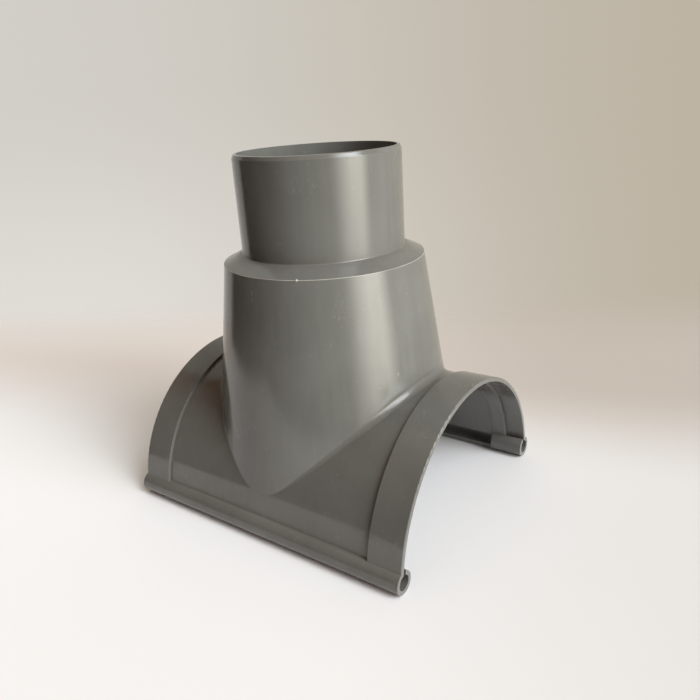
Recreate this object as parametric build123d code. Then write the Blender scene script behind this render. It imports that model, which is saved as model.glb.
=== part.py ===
from build123d import *
import os
from math import atan2, pi, sqrt, tan

# A running outlet for a half-round rain gutter, moulded in one piece of rigid plastic.
# It is drawn as it stands on a bench: the saddle on its two beads, the spigot upwards.
# X runs along the gutter, Z is the spigot's axis, and the origin is on the bench below the spigot.
# All sizes are in millimetres.

# Saddle
length = 162.0              # whole length along the gutter
band_radius = 68.8          # outside of the raised bands at the two ends
band_step = 1.4             # height of the bands above the middle of the saddle
band_width = 17.5
wall = 2.0                  # wall of the saddle
socket_depth = 10.5         # how far a gutter's end slides into a band
stop_height = 1.8           # stop inside the band, as high as the gutter's own wall

# Beads along the two lower edges
bead_radius = 5.5           # outside of the rolled bead
bead_wall = 1.9
bead_inset = 2.8            # from the band's outside to the bead's centre
slot_width = 1.6            # opening of the bead, where the gutter's wall slides in
lip_reach = 2.5             # lip under the middle of the saddle, inwards from the bead's centre

# Outlet
height = 175.0              # from the bench to the rim
spigot_radius = 40.0        # outside of the spigot, for an 80 mm downpipe
spigot_length = 46.3        # from the shoulder to the rim
outlet_wall = 2.2           # wall of the spigot and the cone
rim_chamfer = 1.8           # height of the lead-in chamfer
rim_flat = 1.3              # flat width left at the rim
shoulder_radius = 49.4      # outside of the cone at its top
shoulder_drop = 4.4         # fall of the shoulder from the spigot to the cone
root_radius = 3.0           # rounding where the cone meets the saddle
edge_rounding = 0.5         # rounding of the outlet's edges, from the shoulder to the rim
band_rounding = 0.4         # rounding of the bands' outer edges

# Places that follow from the sizes above
saddle_radius = band_radius - band_step
inside_radius = saddle_radius - wall
socket_radius = band_radius - wall
stop_radius = socket_radius - stop_height
band_start = length / 2 - band_width
stop_x = length / 2 - socket_depth
bead_y = band_radius - bead_inset
bead_z = bead_radius
bead_bore = bead_radius - bead_wall
base_z = height - spigot_length
shoulder_z = base_z - shoulder_drop
foot_z = bead_z + bead_radius + wall
foot_radius = sqrt((saddle_radius - wall / 2) ** 2 - foot_z ** 2)


def above(z):
    """The half of the section's plane that lies above a height."""
    reach = height + length
    return Pos(0, z + reach / 2) * Rectangle(2 * reach, reach)


def half_disc(radius):
    """A half disc about the gutter's axis, standing on the centres of the beads."""
    return Circle(radius) & above(bead_z)


def both_beads(radius):
    """A disc at the near and at the far lower edge."""
    return Pos(-bead_y, bead_z) * Circle(radius) + Pos(bead_y, bead_z) * Circle(radius)


def outside(radius):
    """The outline of the saddle in section, filled."""
    return half_disc(radius) + both_beads(bead_radius)


def socket_inside():
    """The open end: room for the gutter, with a slot into each bead for its rolled edge."""
    room = half_disc(socket_radius) - both_beads(bead_radius)
    slots = half_disc(socket_radius) - Circle(socket_radius - slot_width)
    return room + slots + both_beads(bead_bore)


def stop_inside():
    """Behind the stop the wall is thicker and closes the slots."""
    return half_disc(stop_radius) - both_beads(bead_radius) + both_beads(bead_bore)


def middle_inside():
    """Under the outlet the beads are open to the inside, above a short lip."""
    lip_gap = Pos(0, bead_z / 2) * Rectangle(2 * (bead_y - lip_reach), 3 * bead_z)
    return half_disc(inside_radius) + both_beads(bead_bore) + lip_gap


def along(section, start, end):
    """A section drawn out along the gutter."""
    return extrude(Plane.YZ.offset(start) * section, amount=end - start)


def turned(points):
    """A solid turned about the spigot's axis from the points of its outline."""
    outline = [(0, points[0][1])] + points + [(0, points[-1][1])]
    return revolve(Plane.XZ * make_face(Polyline(*outline, close=True)), Axis.Z)


def outlet_outside():
    """Cone, sloping shoulder and spigot with the rim's lead-in chamfer, all with softened edges."""
    rim_radius = spigot_radius - outlet_wall + rim_flat
    outlet = turned([
        (foot_radius, foot_z),
        (shoulder_radius, shoulder_z),
        (spigot_radius, base_z),
        (spigot_radius, height - rim_chamfer),
        (rim_radius, height),
    ])
    edges = outlet.edges().filter_by(GeomType.CIRCLE).filter_by_position(Axis.Z, shoulder_z, height)
    return fillet(edges, edge_rounding)


def outlet_inside():
    """The water's way: the same outline moved inwards by the wall, at right angles to each face."""
    shoulder_slope = atan2(shoulder_drop, shoulder_radius - spigot_radius)
    inner_drop = outlet_wall * tan(pi / 4 - shoulder_slope / 2)
    bore = spigot_radius - outlet_wall
    return turned([
        (foot_radius - outlet_wall, foot_z),
        (shoulder_radius - outlet_wall, shoulder_z - inner_drop),
        (bore, base_z - inner_drop),
        (bore, height),
    ])


def end_band(side):
    """The raised band round one end, with the outer edge of both its faces rounded."""
    band = along(outside(band_radius), side * band_start, side * length / 2)
    arcs = band.edges().filter_by(lambda edge: edge.geom_type == GeomType.CIRCLE and edge.radius > saddle_radius)
    return fillet(arcs, band_rounding)


def gutter_outlet():
    """The whole moulding: saddle and cone with a rounded root, then the bands, then all that is hollow."""
    saddle = along(outside(saddle_radius), -length / 2, length / 2)
    cone = outlet_outside()
    body = saddle + cone
    body = fillet(new_edges(saddle, cone, combined=body), root_radius)
    for side in (-1, 1):
        body = body + end_band(side)
    for side in (-1, 1):
        body = body - along(stop_inside(), side * band_start, side * stop_x)
        body = body - along(socket_inside(), side * stop_x, side * length / 2)
    return body - along(middle_inside(), -band_start, band_start) - outlet_inside()


os.makedirs("parts", exist_ok=True)
export_step(gutter_outlet(), "parts/gutter_outlet.step")
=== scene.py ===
import bpy
import bmesh
from math import cos, pi, radians, sin, tau
from mathutils import Matrix, Vector


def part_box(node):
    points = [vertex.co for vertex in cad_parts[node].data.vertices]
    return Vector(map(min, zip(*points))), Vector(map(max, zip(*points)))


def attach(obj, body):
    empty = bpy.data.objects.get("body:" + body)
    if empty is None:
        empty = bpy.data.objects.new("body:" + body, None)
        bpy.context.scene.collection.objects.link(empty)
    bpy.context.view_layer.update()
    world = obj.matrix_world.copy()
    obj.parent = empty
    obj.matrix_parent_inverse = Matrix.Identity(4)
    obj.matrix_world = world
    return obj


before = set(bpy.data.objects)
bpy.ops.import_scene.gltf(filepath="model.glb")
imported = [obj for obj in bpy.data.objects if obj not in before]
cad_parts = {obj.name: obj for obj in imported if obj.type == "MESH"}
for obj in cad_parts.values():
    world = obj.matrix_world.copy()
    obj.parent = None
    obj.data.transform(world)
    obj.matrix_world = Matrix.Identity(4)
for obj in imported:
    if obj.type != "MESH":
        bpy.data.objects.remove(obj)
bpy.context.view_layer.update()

# The outlet stands on its beads, spigot up, on a sheet of white paper. Sizes are in metres.

MM = 0.001
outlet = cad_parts["gutter_outlet"]
floor_corner, top_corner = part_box("gutter_outlet")

# The shoulder's edge, which the parting line follows
shoulder_below_rim = 50.7 * MM
shoulder_radius = 49.4 * MM
shoulder_z = top_corner.z - shoulder_below_rim

# The paper sheet, measured from the spigot's axis
sheet_front = 0.275
sheet_back = 0.36
sheet_side = 0.40
sheet_edge = 0.02           # half the width of its soft edge
sheet_z = floor_corner.z - 0.05 * MM
sheet_turn = radians(27.8)
sheet_across = Vector((cos(sheet_turn), sin(sheet_turn), 0.0))
sheet_inwards = Vector((-sin(sheet_turn), cos(sheet_turn), 0.0))


# Node helpers

def add_node(tree, kind, **settings):
    """A node of one kind with its own properties set."""
    node = tree.nodes.new(kind)
    for name, value in settings.items():
        setattr(node, name, value)
    return node


def feed(tree, operand, socket):
    """Gives an input what another node puts out, or a plain value."""
    if isinstance(operand, bpy.types.NodeSocket):
        tree.links.new(operand, socket)
    else:
        socket.default_value = operand


def maths(tree, operation, first, second=None):
    """One Math node. Each operand is an output or a plain number."""
    node = add_node(tree, "ShaderNodeMath", operation=operation)
    feed(tree, first, node.inputs[0])
    if second is not None:
        feed(tree, second, node.inputs[1])
    return node.outputs[0]


def along(tree, vector, direction):
    """How far a vector reaches in one direction, which is an output or a plain vector."""
    node = add_node(tree, "ShaderNodeVectorMath", operation="DOT_PRODUCT")
    feed(tree, vector, node.inputs[0])
    feed(tree, direction, node.inputs[1])
    return node.outputs["Value"]


def spread(tree, value, low, high, new_low=0.0, new_high=1.0):
    """Maps a value smoothly from one range to another. It falls where low is above high."""
    node = add_node(tree, "ShaderNodeMapRange", interpolation_type="SMOOTHSTEP")
    feed(tree, value, node.inputs["Value"])
    for name, number in zip(("From Min", "From Max", "To Min", "To Max"), (low, high, new_low, new_high)):
        node.inputs[name].default_value = number
    return node.outputs["Result"]


def rise_and_fall(tree, value, start, full, still_full, end):
    """Nothing up to the start, one from full to still full, and nothing again from the end."""
    rise = spread(tree, value, start, full)
    fall = spread(tree, value, end, still_full)
    return maths(tree, "MULTIPLY", rise, fall)


def mix_colour(tree, factor, first, second):
    """Mixes two colours. Each is an output or a plain colour."""
    node = add_node(tree, "ShaderNodeMix", data_type="RGBA")
    feed(tree, factor, node.inputs["Factor"])
    colour_inputs = [socket for socket in node.inputs if socket.type == "RGBA"]
    for operand, socket in zip((first, second), colour_inputs):
        plain = not isinstance(operand, bpy.types.NodeSocket)
        feed(tree, (*operand, 1.0) if plain else operand, socket)
    return [socket for socket in node.outputs if socket.type == "RGBA"][0]


def noise(tree, place, scale, detail=2.0, stretch=None):
    """Noise over the piece. The scale is in features per metre, and stretch draws it out along the axes."""
    if stretch is not None:
        stretched = add_node(tree, "ShaderNodeVectorMath", operation="MULTIPLY")
        feed(tree, place, stretched.inputs[0])
        feed(tree, stretch, stretched.inputs[1])
        place = stretched.outputs[0]
    node = add_node(tree, "ShaderNodeTexNoise")
    feed(tree, place, node.inputs["Vector"])
    node.inputs["Scale"].default_value = scale
    node.inputs["Detail"].default_value = detail
    return node.outputs["Fac"]


def bump(tree, heights, strength, distance, surface=None):
    """Raises the surface by a noise, on top of another bump's surface if one is given."""
    node = add_node(tree, "ShaderNodeBump")
    feed(tree, heights, node.inputs["Height"])
    node.inputs["Strength"].default_value = strength
    node.inputs["Distance"].default_value = distance
    if surface is not None:
        feed(tree, surface, node.inputs["Normal"])
    return node.outputs["Normal"]


# The finish of moulded plastic, with painted shade in its inner corners and painted highlights on its edges

def flow_coloured(tree, place, dark, light, flow_mark):
    """Soft clouds between two tints, and marks of the flow that run up the cone and the spigot."""
    cloud_scale = 24.0
    cloud_range = (0.35, 0.65)
    flow_stretch = (260.0, 260.0, 9.0)
    flow_range = (0.42, 0.62)
    flow_strength = 0.22
    clouds = noise(tree, place, cloud_scale, detail=3.0)
    flow = noise(tree, place, 1.0, stretch=flow_stretch)
    clouded = mix_colour(tree, spread(tree, clouds, *cloud_range), dark, light)
    return mix_colour(tree, spread(tree, flow, *flow_range, 0.0, flow_strength), clouded, flow_mark)


def painted_edge_highlight(tree, place):
    """A mask of the sharp edges for a painted highlight, a little uneven, where a rounded normal leaves the
    surface's own.
    """
    edge_width = 0.35 * MM
    edge_range = (0.97, 0.80)
    uneven_scale = 180.0
    uneven_range = (0.30, 0.65)
    least_highlit = 0.7
    rounded = add_node(tree, "ShaderNodeBevel", samples=6)
    rounded.inputs["Radius"].default_value = edge_width
    own_normal = add_node(tree, "ShaderNodeNewGeometry").outputs["Normal"]
    edge = spread(tree, along(tree, rounded.outputs["Normal"], own_normal), *edge_range)
    uneven = spread(tree, noise(tree, place, uneven_scale, detail=3.0), *uneven_range, least_highlit, 1.0)
    return maths(tree, "MULTIPLY", edge, uneven)


def hairlines(tree, place, turn, scale, width):
    """Sparse scratches that run one way: thin level lines of a stretched noise, broken up by another."""
    run_stretch = (1.0, 1.0, 0.08)
    gap_scale = 70.0
    gap_range = (0.58, 0.66)
    turned = add_node(tree, "ShaderNodeVectorRotate", rotation_type="EULER_XYZ")
    feed(tree, place, turned.inputs["Vector"])
    feed(tree, turn, turned.inputs["Rotation"])
    field = noise(tree, turned.outputs["Vector"], scale, detail=1.0, stretch=run_stretch)
    from_middle = maths(tree, "ABSOLUTE", maths(tree, "SUBTRACT", field, 0.5))
    line = spread(tree, from_middle, width, 0.0)
    gaps = spread(tree, noise(tree, place, gap_scale), *gap_range)
    return maths(tree, "MULTIPLY", line, gaps)


def crossed_hairlines(tree, place):
    """A mask of two sets of hairlines that cross at a slant."""
    steep = hairlines(tree, place, turn=(0.3, 0.1, 0.0), scale=420.0, width=0.006)
    slanting = hairlines(tree, place, turn=(1.4, 0.5, 0.7), scale=360.0, width=0.005)
    return maths(tree, "MAXIMUM", steep, slanting)


def dust_specks(tree, place):
    """A mask of the few highest peaks of a very fine noise."""
    speck_scale = 1150.0
    speck_range = (0.835, 0.87)
    return spread(tree, noise(tree, place, speck_scale, detail=0.0), *speck_range)


def painted_corner_shade(tree):
    """A mask of the inner corners, where painted shade darkens the colour and the gloss is duller."""
    reach = 6.0 * MM
    openness_range = (0.97, 0.68)
    hollow = add_node(tree, "ShaderNodeAmbientOcclusion", samples=4, only_local=True)
    hollow.inputs["Distance"].default_value = reach
    return spread(tree, hollow.outputs["AO"], *openness_range)


def uneven_gloss(tree, place, dulled):
    """A roughness that varies slowly over the walls, and is higher where they are dulled."""
    gloss_scale = 45.0
    gloss_range = (0.3, 0.7)
    smoothest = 0.11
    roughest = 0.15
    dulled_by = 0.24
    clean = spread(tree, noise(tree, place, gloss_scale, detail=4.0), *gloss_range, smoothest, roughest)
    return maths(tree, "ADD", clean, maths(tree, "MULTIPLY", dulled, dulled_by))


def moulded_surface(tree, place):
    """The soft waviness of a moulded wall under a very fine grain."""
    waves = noise(tree, place, scale=55.0, detail=1.0)
    grain = noise(tree, place, scale=1300.0)
    wavy = bump(tree, waves, strength=0.25, distance=0.4 * MM)
    return bump(tree, grain, strength=0.12, distance=0.02 * MM, surface=wavy)


def moulded_finish_and_painted_light():
    """The node group that the moulded plastics share: their colour with its scratches and dust, the painted
    highlights on the edges and the painted shade in the inner corners, and its roughness and surface.
    """
    group = bpy.data.node_groups.new("moulded_finish_and_painted_light", "ShaderNodeTree")
    for name in ("Dark", "Light", "Flow Mark"):
        group.interface.new_socket(name=name, in_out="INPUT", socket_type="NodeSocketColor")
    group.interface.new_socket(name="Color", in_out="OUTPUT", socket_type="NodeSocketColor")
    group.interface.new_socket(name="Roughness", in_out="OUTPUT", socket_type="NodeSocketFloat")
    group.interface.new_socket(name="Normal", in_out="OUTPUT", socket_type="NodeSocketVector")
    given = add_node(group, "NodeGroupInput").outputs
    results = add_node(group, "NodeGroupOutput").inputs
    place = add_node(group, "ShaderNodeTexCoord").outputs["Object"]

    edge_highlight = painted_edge_highlight(group, place)
    scratched = crossed_hairlines(group, place)
    corner_shade = painted_corner_shade(group)
    marks_and_painted_light = (                # mask, strength and tint
        # painted highlight along the sharp edges, pale
        (edge_highlight, 0.70, (0.30, 0.30, 0.285)),
        (scratched, 0.35, (0.27, 0.27, 0.26)),
        (dust_specks(group, place), 0.40, (0.30, 0.30, 0.28)),
        # painted shade in the inner corners, a dark brown
        (corner_shade, 0.30, (0.088, 0.074, 0.060)),
    )
    colour = flow_coloured(group, place, given["Dark"], given["Light"], given["Flow Mark"])
    for mask, strength, tint in marks_and_painted_light:
        colour = mix_colour(group, maths(group, "MULTIPLY", mask, strength), colour, tint)
    dulled = maths(group, "MAXIMUM", maths(group, "MAXIMUM", edge_highlight, scratched), corner_shade)

    feed(group, colour, results["Color"])
    feed(group, uneven_gloss(group, place, dulled), results["Roughness"])
    feed(group, moulded_surface(group, place), results["Normal"])
    return group


def moulded_plastic(name, finish_and_painted_light, dark, light, flow_mark):
    """Rigid semi-gloss plastic in its own tints, with the shared finish and its painted edge highlights and
    corner shade.
    """
    material = bpy.data.materials.new(name)
    material.use_nodes = True
    tree = material.node_tree
    shader = tree.nodes["Principled BSDF"]
    shader.inputs["IOR"].default_value = 1.5
    surface = add_node(tree, "ShaderNodeGroup", node_tree=finish_and_painted_light)
    for socket_name, tint in (("Dark", dark), ("Light", light), ("Flow Mark", flow_mark)):
        surface.inputs[socket_name].default_value = (*tint, 1.0)
    feed(tree, surface.outputs["Color"], shader.inputs["Base Color"])
    feed(tree, surface.outputs["Roughness"], shader.inputs["Roughness"])
    feed(tree, surface.outputs["Normal"], shader.inputs["Normal"])
    return material


plastic_finish_and_painted_light = moulded_finish_and_painted_light()
grey_plastic = moulded_plastic(
    "grey_plastic", plastic_finish_and_painted_light,
    dark=(0.119, 0.117, 0.107), light=(0.134, 0.132, 0.122), flow_mark=(0.152, 0.150, 0.139))
# The mould's traces are drawn in a pale plastic whose light colour is a painted highlight along them.
painted_highlight_plastic = moulded_plastic(
    "painted_highlight_plastic", plastic_finish_and_painted_light,
    dark=(0.24, 0.235, 0.205), light=(0.44, 0.43, 0.37), flow_mark=(0.48, 0.47, 0.41))
outlet.data.materials[0] = grey_plastic


# Traces of the mould

def highlight_painted_piece(name, mesh):
    """Makes a smooth piece of pale plastic from a mesh, which rides with the outlet. Its pale colour is a
    painted highlight.
    """
    bmesh.ops.recalc_face_normals(mesh, faces=mesh.faces)
    for face in mesh.faces:
        face.smooth = True
    data = bpy.data.meshes.new(name)
    mesh.to_mesh(data)
    mesh.free()
    data.materials.append(painted_highlight_plastic)
    piece = bpy.data.objects.new(name, data)
    bpy.context.scene.collection.objects.link(piece)
    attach(piece, "root")
    return piece


def parting_line():
    """The fine raised line that the mould left round the shoulder's edge."""
    line_radius = 0.15 * MM
    line_inset = 0.08 * MM
    line_drop = 0.05 * MM
    section_place = Matrix.Translation((shoulder_radius - line_inset, 0.0, shoulder_z - line_drop))
    mesh = bmesh.new()
    bmesh.ops.create_circle(mesh, segments=10, radius=line_radius)
    bmesh.ops.transform(mesh, matrix=section_place @ Matrix.Rotation(pi / 2, 4, "X"), verts=mesh.verts)
    bmesh.ops.spin(mesh, geom=mesh.verts[:] + mesh.edges[:], cent=(0.0, 0.0, 0.0), axis=(0.0, 0.0, 1.0),
                   angle=tau, steps=240, use_merge=True)
    return highlight_painted_piece("parting_line", mesh)


def gate_stub():
    """The short stub on that line, cut off flat, where the plastic flowed in."""
    azimuth = radians(23.0)
    foot_radius = 0.60 * MM
    tip_radius = 0.45 * MM
    stub_length = 0.9 * MM
    tip_rounding = 0.12 * MM
    mesh = bmesh.new()
    bmesh.ops.create_cone(mesh, cap_ends=True, segments=20, radius1=foot_radius, radius2=tip_radius,
                          depth=stub_length)
    rim = [edge for edge in mesh.edges if all(vert.co.z > 0.0 for vert in edge.verts)]
    bmesh.ops.bevel(mesh, geom=rim, offset=tip_rounding, affect="EDGES", segments=2, profile=0.5,
                    material=-1)
    outwards = Vector((sin(azimuth), -cos(azimuth), 0.0))
    place = outwards * shoulder_radius + Vector((0.0, 0.0, shoulder_z))
    turned = Vector((0.0, 0.0, 1.0)).rotation_difference(outwards).to_matrix().to_4x4()
    bmesh.ops.transform(mesh, matrix=Matrix.Translation(place) @ turned, verts=mesh.verts)
    return highlight_painted_piece("gate_stub", mesh)


parting_line()
gate_stub()


# Table

def white_paper():
    """Paper that darkens to the right and turns beige at the back, both painted shade. It fades out at its
    edges.

    From below it is clear, so that the underside of the outlet can be seen.
    """
    # The colours carry painted shade: darker on the right, and darker still where the paper turns beige at
    # the back.
    white_left = (0.82, 0.812, 0.825)
    white_right = (0.70, 0.685, 0.69)
    white_range = (-0.02, 0.20)
    beige_left = (0.66, 0.60, 0.565)
    beige_right = (0.49, 0.44, 0.40)
    beige_range = (-0.16, 0.18)
    turning_beige = (0.01, 0.14)
    slant = 0.15                # how much sooner it turns beige towards the right
    back_fade_start = 0.16
    material = bpy.data.materials.new("white_paper")
    material.use_nodes = True
    tree = material.node_tree
    shader = tree.nodes["Principled BSDF"]
    shader.inputs["Roughness"].default_value = 0.8
    shader.inputs["Specular IOR Level"].default_value = 0.2
    place = add_node(tree, "ShaderNodeTexCoord").outputs["Object"]
    depth = along(tree, place, sheet_inwards)
    aside = along(tree, place, sheet_across)

    white = mix_colour(tree, spread(tree, aside, *white_range), white_left, white_right)
    beige = mix_colour(tree, spread(tree, aside, *beige_range), beige_left, beige_right)
    slanted_depth = maths(tree, "ADD", depth, maths(tree, "MULTIPLY", aside, slant))
    colour = mix_colour(tree, spread(tree, slanted_depth, *turning_beige), white, beige)
    feed(tree, colour, shader.inputs["Base Color"])

    off_centre = maths(tree, "ABSOLUTE", aside)
    past_front = spread(tree, depth, -sheet_front + sheet_edge, -sheet_front - sheet_edge)
    past_back = spread(tree, depth, back_fade_start, sheet_back)
    past_side = spread(tree, off_centre, sheet_side - sheet_edge, sheet_side + sheet_edge)
    past_end = maths(tree, "MAXIMUM", maths(tree, "MAXIMUM", past_front, past_back), past_side)
    from_below = add_node(tree, "ShaderNodeNewGeometry").outputs["Backfacing"]
    clear = add_node(tree, "ShaderNodeBsdfTransparent")
    blend = add_node(tree, "ShaderNodeMixShader")
    feed(tree, maths(tree, "MAXIMUM", past_end, from_below), blend.inputs[0])
    feed(tree, shader.outputs[0], blend.inputs[1])
    feed(tree, clear.outputs[0], blend.inputs[2])
    feed(tree, blend.outputs[0], tree.nodes["Material Output"].inputs["Surface"])
    return material


def paper_sheet():
    """A flat sheet of paper just under the beads."""
    half_width = sheet_side + sheet_edge
    near_end = -sheet_front - sheet_edge
    half_depth = (sheet_back - near_end) / 2
    centre = Vector((0.0, (sheet_back + near_end) / 2, sheet_z))
    mesh = bmesh.new()
    bmesh.ops.create_grid(mesh, x_segments=1, y_segments=1, size=1.0)
    bmesh.ops.scale(mesh, vec=(half_width, half_depth, 1.0), verts=mesh.verts)
    bmesh.ops.translate(mesh, vec=centre, verts=mesh.verts)
    bmesh.ops.transform(mesh, matrix=Matrix.Rotation(sheet_turn, 4, "Z"), verts=mesh.verts)
    data = bpy.data.meshes.new("paper_sheet")
    mesh.to_mesh(data)
    mesh.free()
    data.materials.append(white_paper())
    sheet = bpy.data.objects.new("paper_sheet", data)
    bpy.context.scene.collection.objects.link(sheet)
    return sheet


# Room and light

# Azimuth 0 is the near side and 90 the right end. Angles are in degrees, and a pair of them says where a
# part of the room begins and where it is full.

def behind_table(tree, azimuth):
    """A mask of the directions behind the table, from the left end round the back."""
    left_edge = (-83.0, -95.0)
    right_edge = (130.0, 160.0)
    return maths(tree, "MAXIMUM", spread(tree, azimuth, *left_edge), spread(tree, azimuth, *right_edge))


def dim_room(tree, elevation, behind):
    """Brown dusk in front, pale walls behind, and the ceiling."""
    dusk_low = (0.024, 0.010, 0.005)
    dusk_high = (0.20, 0.06, 0.02)
    dusk_range = (15.0, 45.0)
    wall_low = (0.85, 0.80, 0.72)
    wall_high = (0.34, 0.30, 0.26)
    wall_range = (10.0, 45.0)
    ceiling = (0.72, 0.68, 0.50)
    ceiling_edge = (49.0, 69.0)
    dusk = mix_colour(tree, spread(tree, elevation, *dusk_range), dusk_low, dusk_high)
    wall = mix_colour(tree, spread(tree, elevation, *wall_range), wall_low, wall_high)
    sides = mix_colour(tree, behind, dusk, wall)
    return mix_colour(tree, spread(tree, elevation, *ceiling_edge), sides, ceiling)


def windowed(tree, room, azimuth, elevation):
    """The room with its tall window on the right, ground and sky outside it, and the lit wall beside it."""
    lean = 0.08                 # how far the window's sides lean, for each degree of elevation
    window_azimuths = (51.0, 85.0, 93.0, 111.0)
    window_elevations = (-30.0, 4.0, 50.0, 78.0)
    ground = (8.9, 8.6, 7.4)
    sky = (10.6, 11.1, 11.4)
    horizon = (-5.0, 22.0)
    lit_wall = (1.05, 1.0, 0.85)
    wall_near_edge = (86.0, 98.0)
    wall_far_edge = (152.0, 122.0)
    wall_top = (30.0, 5.0)
    leaning = maths(tree, "SUBTRACT", azimuth, maths(tree, "MULTIPLY", elevation, lean))
    near_edge = spread(tree, leaning, *wall_near_edge)
    far_edge = spread(tree, azimuth, *wall_far_edge)
    beside = maths(tree, "MULTIPLY", maths(tree, "MULTIPLY", near_edge, far_edge),
                   spread(tree, elevation, *wall_top))
    room = mix_colour(tree, beside, room, lit_wall)
    across = rise_and_fall(tree, leaning, *window_azimuths)
    upright = rise_and_fall(tree, elevation, *window_elevations)
    outdoors = mix_colour(tree, spread(tree, elevation, *horizon), ground, sky)
    return mix_colour(tree, maths(tree, "MULTIPLY", across, upright), room, outdoors)


def backdrop_colour(tree, view, elevation):
    """The plain backdrop, darker towards the right and, at the left, towards the top."""
    to_right = (0.816, 0.575, 0.0)
    right_range = (-0.45, 0.5)
    left_low = (0.75, 0.725, 0.685)
    left_high = (0.645, 0.62, 0.575)
    left_elevations = (-16.0, 2.0)
    right = (0.51, 0.455, 0.37)
    left = mix_colour(tree, spread(tree, elevation, *left_elevations), left_low, left_high)
    return mix_colour(tree, spread(tree, along(tree, view, to_right), *right_range), left, right)


def soft_room():
    """The room round the table. The camera sees only the backdrop, and gloss sees it behind the table."""
    to_degrees = 180.0 / pi
    world = bpy.data.worlds.new("soft_room")
    bpy.context.scene.world = world
    world.use_nodes = True
    tree = world.node_tree
    light = tree.nodes["Background"]
    view = add_node(tree, "ShaderNodeTexCoord").outputs["Generated"]
    direction = add_node(tree, "ShaderNodeSeparateXYZ")
    feed(tree, view, direction.inputs[0])
    toward_right, inwards, upwards = direction.outputs
    toward_near = maths(tree, "MULTIPLY", inwards, -1.0)
    azimuth = maths(tree, "MULTIPLY", maths(tree, "ARCTAN2", toward_right, toward_near), to_degrees)
    elevation = maths(tree, "MULTIPLY", maths(tree, "ARCSINE", upwards), to_degrees)
    behind = behind_table(tree, azimuth)
    room = dim_room(tree, elevation, behind)
    feed(tree, windowed(tree, room, azimuth, elevation), light.inputs["Color"])

    backdrop = add_node(tree, "ShaderNodeBackground")
    feed(tree, backdrop_colour(tree, view, elevation), backdrop.inputs["Color"])
    path = add_node(tree, "ShaderNodeLightPath")
    mirrored = maths(tree, "MAXIMUM", path.outputs["Is Glossy Ray"], path.outputs["Is Transmission Ray"])
    shown = maths(tree, "MAXIMUM", path.outputs["Is Camera Ray"], maths(tree, "MULTIPLY", mirrored, behind))
    blend = add_node(tree, "ShaderNodeMixShader")
    feed(tree, shown, blend.inputs[0])
    feed(tree, light.outputs[0], blend.inputs[1])
    feed(tree, backdrop.outputs[0], blend.inputs[2])
    feed(tree, blend.outputs[0], tree.nodes["World Output"].inputs["Surface"])


# Camera, at the photograph's viewing angle

def tilted_camera():
    """The camera looks down a little on the near right corner, and is rolled a few degrees."""
    azimuth = radians(36.48)
    elevation = radians(20.87)
    roll = radians(-3.72)
    distance = 346.1 * MM
    target = Vector((9.2, 3.7, 73.5)) * MM
    sensor_width = 36.0
    image_width = 700.0
    focal_pixels = 664.8
    data = bpy.data.cameras.new("camera")
    data.sensor_width = sensor_width
    data.lens = sensor_width * focal_pixels / image_width
    data.clip_start = 0.01
    camera = bpy.data.objects.new("camera", data)
    bpy.context.scene.collection.objects.link(camera)

    level = cos(elevation)
    back = Vector((sin(azimuth) * level, -cos(azimuth) * level, sin(elevation)))
    right = Vector((0.0, 0.0, 1.0)).cross(back).normalized()
    up = back.cross(right)
    rolled_right = cos(roll) * right + sin(roll) * up
    rolled_up = cos(roll) * up - sin(roll) * right
    rotation = Matrix((rolled_right, rolled_up, back)).transposed()
    camera.matrix_world = Matrix.Translation(target + distance * back) @ rotation.to_4x4()
    bpy.context.scene.camera = camera


paper_sheet()
soft_room()
tilted_camera()
bpy.context.scene.view_settings.view_transform = "Standard"
